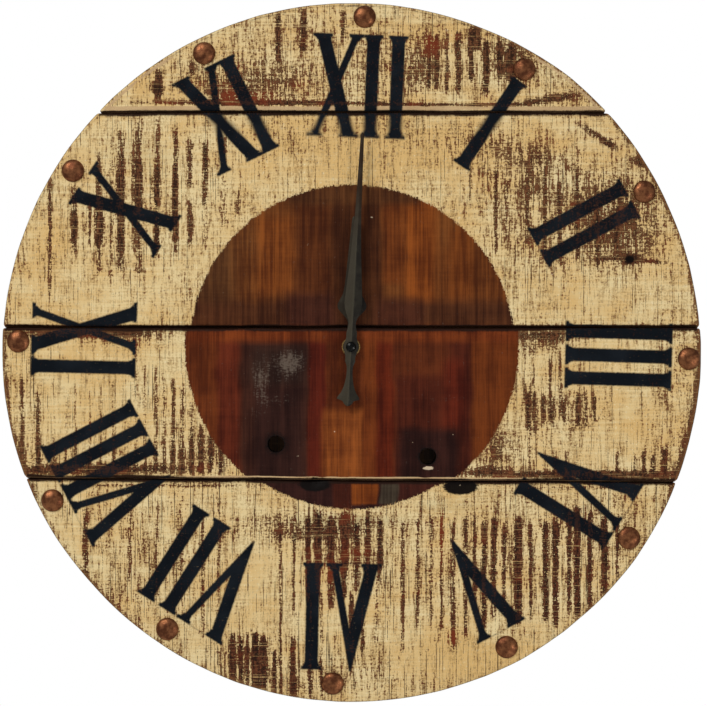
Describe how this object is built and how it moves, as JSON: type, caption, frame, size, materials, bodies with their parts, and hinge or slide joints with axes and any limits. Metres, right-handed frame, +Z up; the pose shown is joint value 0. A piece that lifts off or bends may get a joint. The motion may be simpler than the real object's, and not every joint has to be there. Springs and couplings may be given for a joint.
{
  "type": "wall clock",
  "caption": "Round rustic wall clock of horizontal painted planks with numerals, dome nails, ridged hands and a battery quartz movement, hung by a saw-tooth hanger.",
  "frame": {"origin": "the point where the saw-tooth hanger bears on its wall nail, on the wall plane", "axes": "+Y into the wall, so the face looks along -Y; +X to the right of the face; +Z up"},
  "size_m": [0.6098, 0.0565, 0.6099],
  "materials": {
    "painted_board": "dry-brushed cream paint over rough-sawn brown wood",
    "batten_wood": "dark bare wood",
    "screw_zinc": "yellow zinc",
    "copper_dome": "aged copper plate",
    "hanger_brass": "brassed",
    "case_plastic": "black satin",
    "gasket_rubber": "matt black",
    "turned_brass": "satin",
    "gear_plastic": "satin",
    "blue_gear": "satin",
    "magnet": "satin",
    "stator_steel": "satin",
    "coil_copper": "enamelled wire",
    "board_resin": "green solder mask",
    "chip_epoxy": "black epoxy",
    "crystal_can": "bright",
    "battery_can": "dark sleeve",
    "contact_strip": "nickel plate",
    "hand_metal": "dark grey-green paint with worn edges",
    "black_nut": "black oxide"
  },
  "bodies": {
    "clock_body": {"plank_top": "painted_board", "plank_upper": "painted_board", "plank_middle": "painted_board", "plank_lower": "painted_board", "batten_left": "batten_wood", "batten_right": "batten_wood", "batten_screw_left_1": "screw_zinc", "batten_screw_left_2": "screw_zinc", "batten_screw_left_3": "screw_zinc", "batten_screw_left_4": "screw_zinc", "batten_screw_right_1": "screw_zinc", "batten_screw_right_2": "screw_zinc", "batten_screw_right_3": "screw_zinc", "batten_screw_right_4": "screw_zinc", "dome_nail_01": "copper_dome", "dome_nail_02": "copper_dome", "dome_nail_03": "copper_dome", "dome_nail_04": "copper_dome", "dome_nail_05": "copper_dome", "dome_nail_06": "copper_dome", "dome_nail_07": "copper_dome", "dome_nail_08": "copper_dome", "dome_nail_09": "copper_dome", "dome_nail_10": "copper_dome", "dome_nail_11": "copper_dome", "dome_nail_12": "copper_dome", "sawtooth_hanger": "hanger_brass", "hanger_nail_left": "hanger_brass", "hanger_nail_right": "hanger_brass", "movement_case": "case_plastic", "movement_cover": "case_plastic", "rubber_gasket": "gasket_rubber", "threaded_bushing": "turned_brass", "brass_washer": "turned_brass", "hex_nut": "turned_brass", "battery_contact_left": "contact_strip", "battery_contact_right": "contact_strip", "circuit_board": "board_resin", "clock_chip": "chip_epoxy", "quartz_crystal": "crystal_can", "coil": "coil_copper", "stator": "stator_steel"},
    "minute_set": {"centre_wheel": "turned_brass", "minute_hand": "hand_metal", "hand_nut": "black_nut"},
    "hour_set": {"hour_wheel": "gear_plastic", "hour_hand": "hand_metal"},
    "motion_set": {"motion_wheel": "gear_plastic"},
    "setting_set": {"setting_wheel": "gear_plastic", "setting_knob": "case_plastic"},
    "third_set": {"third_wheel": "gear_plastic"},
    "second_set": {"second_wheel": "blue_gear"},
    "fifth_set": {"fifth_wheel": "gear_plastic"},
    "rotor_set": {"rotor": "magnet"},
    "battery_cell": {"battery": "battery_can"}
  },
  "joints": [
    {"name": "minute_turn", "type": "hinge", "parent": "clock_body", "child": "minute_set", "pos_m": [-0.0022, -0.02, -0.2397], "axis": [0, 1, 0], "continuous": true},
    {"name": "hour_turn", "type": "hinge", "parent": "clock_body", "child": "hour_set", "pos_m": [-0.0022, -0.02, -0.2397], "axis": [0, 1, 0], "continuous": true},
    {"name": "motion_turn", "type": "hinge", "parent": "clock_body", "child": "motion_set", "pos_m": [0.0058, -0.02, -0.2397], "axis": [0, 1, 0], "continuous": true},
    {"name": "setting_turn", "type": "hinge", "parent": "clock_body", "child": "setting_set", "pos_m": [0.0143, -0.02, -0.24497], "axis": [0, 1, 0], "continuous": true},
    {"name": "third_turn", "type": "hinge", "parent": "clock_body", "child": "third_set", "pos_m": [-0.0114, -0.02, -0.23404], "axis": [0, 1, 0], "continuous": true},
    {"name": "second_turn", "type": "hinge", "parent": "clock_body", "child": "second_set", "pos_m": [-0.0044, -0.02, -0.22662], "axis": [0, 1, 0], "continuous": true},
    {"name": "fifth_turn", "type": "hinge", "parent": "clock_body", "child": "fifth_set", "pos_m": [0.0012, -0.02, -0.22447], "axis": [0, 1, 0], "continuous": true},
    {"name": "rotor_turn", "type": "hinge", "parent": "clock_body", "child": "rotor_set", "pos_m": [0.0058, -0.02, -0.227], "axis": [0, 1, 0], "continuous": true},
    {"name": "battery_slide", "type": "slide", "parent": "clock_body", "child": "battery_cell", "axis": [0, 1, 0], "range_m": [0, 0.025]}
  ],
  "couplings": [
    {"joint": "hour_turn", "follows": "minute_turn", "ratio": 0.083333},
    {"joint": "motion_turn", "follows": "minute_turn", "ratio": -0.33333},
    {"joint": "setting_turn", "follows": "minute_turn", "ratio": 0.5},
    {"joint": "third_turn", "follows": "minute_turn", "ratio": -8},
    {"joint": "second_turn", "follows": "minute_turn", "ratio": 60},
    {"joint": "fifth_turn", "follows": "minute_turn", "ratio": -300},
    {"joint": "rotor_turn", "follows": "minute_turn", "ratio": 1800}
  ]
}
